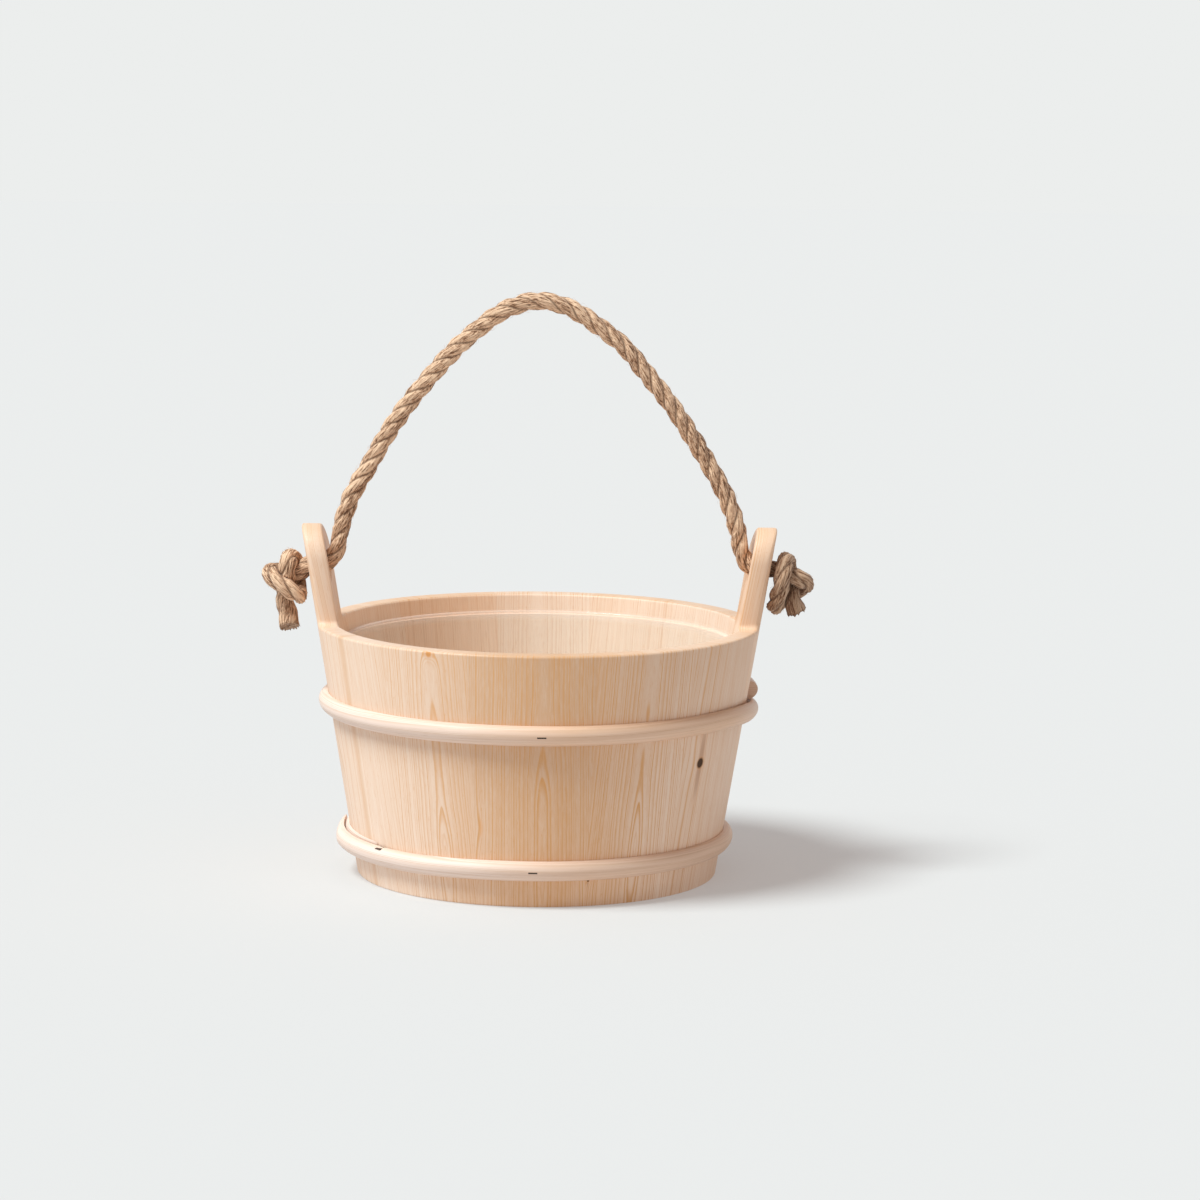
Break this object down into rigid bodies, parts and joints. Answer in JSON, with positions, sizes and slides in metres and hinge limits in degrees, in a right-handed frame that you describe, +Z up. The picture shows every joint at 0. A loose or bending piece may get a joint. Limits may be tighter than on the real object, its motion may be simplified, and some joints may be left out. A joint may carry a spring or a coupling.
{
  "type": "sauna bucket",
  "caption": "Round tapered wooden stave bucket with half-round hoops, raised ears, a knotted rope handle and a clear plastic liner for holding sauna water.",
  "frame": {"origin": "centre of the foot, on the surface that the bucket stands on", "axes": "+Z up, +X towards the right ear as pictured, -Y towards the viewer"},
  "size_m": [0.332, 0.2636, 0.3467],
  "materials": {
    "stave_wood": "planed and sanded pine, unvarnished",
    "base_wood": "planed pine, unvarnished",
    "hoop_wood": "smooth half-round strip, unvarnished",
    "staple_steel": "dark staple wire",
    "liner_plastic": "clear, glossy",
    "rope_fibre": "three-strand twisted natural fibre, hairy"
  },
  "bodies": {
    "bucket": {"stave_front_1": "stave_wood", "stave_front_2": "stave_wood", "stave_front_3": "stave_wood", "stave_front_4": "stave_wood", "stave_front_5": "stave_wood", "stave_back_1": "stave_wood", "stave_back_2": "stave_wood", "stave_back_3": "stave_wood", "stave_back_4": "stave_wood", "stave_back_5": "stave_wood", "ear_stave_left": "stave_wood", "ear_stave_right": "stave_wood", "base_board_left": "base_wood", "base_board_middle": "base_wood", "base_board_right": "base_wood", "hoop_upper": "hoop_wood", "hoop_lower": "hoop_wood", "staples_upper_hoop": "staple_steel", "staples_lower_hoop": "staple_steel"},
    "liner": {"liner": "liner_plastic"},
    "handle": {"rope_handle": "rope_fibre", "rope_knot_left": "rope_fibre", "rope_knot_right": "rope_fibre"}
  },
  "joints": [
    {"name": "handle_swing", "type": "hinge", "parent": "bucket", "child": "handle", "pos_m": [0, 0, 0.184], "axis": [1, 0, 0], "range_deg": [-102, 102]},
    {"name": "liner_lift", "type": "slide", "parent": "bucket", "child": "liner", "axis": [0, 0, 1], "range_m": [0, 0.016]}
  ]
}
